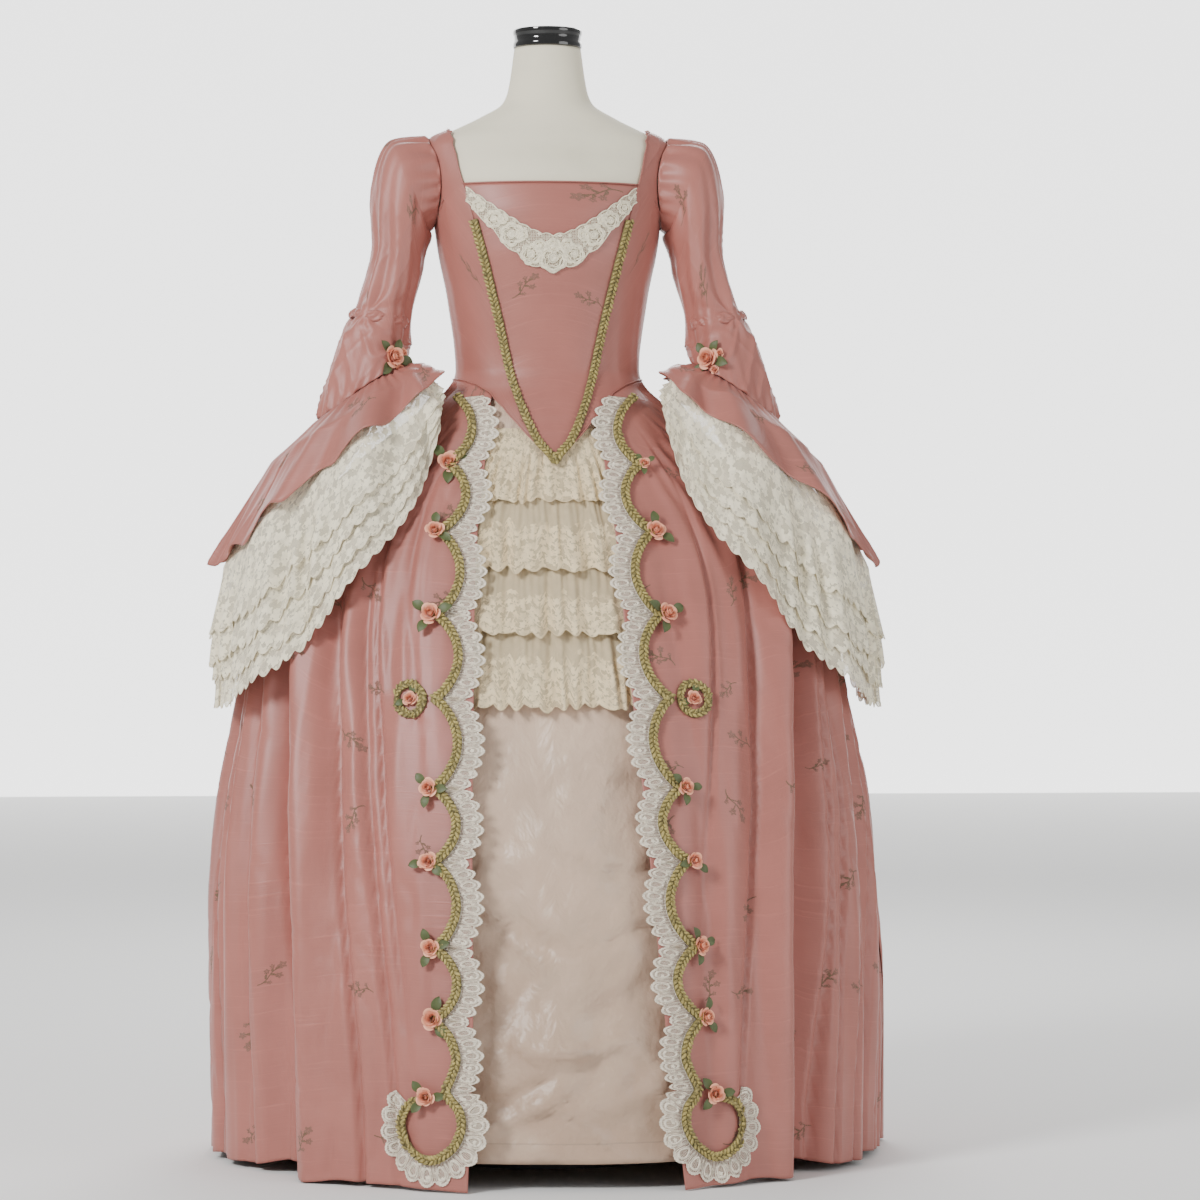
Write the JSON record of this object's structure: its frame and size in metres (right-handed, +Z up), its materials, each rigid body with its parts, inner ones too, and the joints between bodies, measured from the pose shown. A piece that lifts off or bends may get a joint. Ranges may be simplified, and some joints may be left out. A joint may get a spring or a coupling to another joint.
{
  "type": "ball gown on a dress form",
  "caption": "Open-robed ball gown with a pointed bodice, elbow sleeves with deep lace, a trimmed overskirt over a petticoat, worn by a limbless dress form on a round-based stand.",
  "frame": {"origin": "on the floor, under the middle of the gown's extent from left to right and from front to back", "axes": "+Z up, -Y towards the gown's front, +X towards the right as the front is seen"},
  "size_m": [0.958, 0.864, 1.5663],
  "materials": {
    "rose_silk": "slubbed silk taffeta with a soft sheen",
    "petticoat_satin": "creased satin",
    "cream_lace": "cream net lace",
    "ivory_lace": "ivory floral lace",
    "gold_braid": "green-gold gimp braid",
    "peach_ribbon": "peach ribbon",
    "form_cover": "cream jersey cover",
    "black_gloss": "black gloss",
    "stand_metal": "dark painted steel"
  },
  "bodies": {
    "root": {"bodice_back_left": "rose_silk", "bodice_back_right": "rose_silk", "bodice_front_left": "rose_silk", "bodice_front_right": "rose_silk", "bodice_lace": "ivory_lace", "edging_lace_left": "ivory_lace", "edging_lace_right": "ivory_lace", "form_neck_cap": "black_gloss", "form_torso": "form_cover", "overskirt_back_left": "rose_silk", "overskirt_back_right": "rose_silk", "overskirt_front_left": "rose_silk", "overskirt_front_right": "rose_silk", "petticoat": "petticoat_satin", "petticoat_flounce_1": "cream_lace", "petticoat_flounce_2": "cream_lace", "petticoat_flounce_3": "cream_lace", "petticoat_flounce_4": "cream_lace", "rose_left_1": "peach_ribbon", "rose_left_2": "peach_ribbon", "rose_left_3": "peach_ribbon", "rose_left_4": "peach_ribbon", "rose_left_5": "peach_ribbon", "rose_left_6": "peach_ribbon", "rose_left_7": "peach_ribbon", "rose_left_8": "peach_ribbon", "rose_left_9": "peach_ribbon", "rose_right_1": "peach_ribbon", "rose_right_2": "peach_ribbon", "rose_right_3": "peach_ribbon", "rose_right_4": "peach_ribbon", "rose_right_5": "peach_ribbon", "rose_right_6": "peach_ribbon", "rose_right_7": "peach_ribbon", "rose_right_8": "peach_ribbon", "rose_right_9": "peach_ribbon", "rose_sleeve_left": "peach_ribbon", "rose_sleeve_right": "peach_ribbon", "skirt_braid_left": "gold_braid", "skirt_braid_right": "gold_braid", "skirt_ring_left": "gold_braid", "skirt_ring_right": "gold_braid", "sleeve_flounce_left": "rose_silk", "sleeve_flounce_right": "rose_silk", "sleeve_lace_left_1": "ivory_lace", "sleeve_lace_left_2": "ivory_lace", "sleeve_lace_left_3": "ivory_lace", "sleeve_lace_left_4": "ivory_lace", "sleeve_lace_right_1": "ivory_lace", "sleeve_lace_right_2": "ivory_lace", "sleeve_lace_right_3": "ivory_lace", "sleeve_lace_right_4": "ivory_lace", "sleeve_left": "rose_silk", "sleeve_right": "rose_silk", "sleeve_tab_left": "rose_silk", "sleeve_tab_right": "rose_silk", "stand_base": "stand_metal", "stand_pole": "stand_metal", "stomacher": "rose_silk", "stomacher_braid": "gold_braid"}
  },
  "joints": []
}
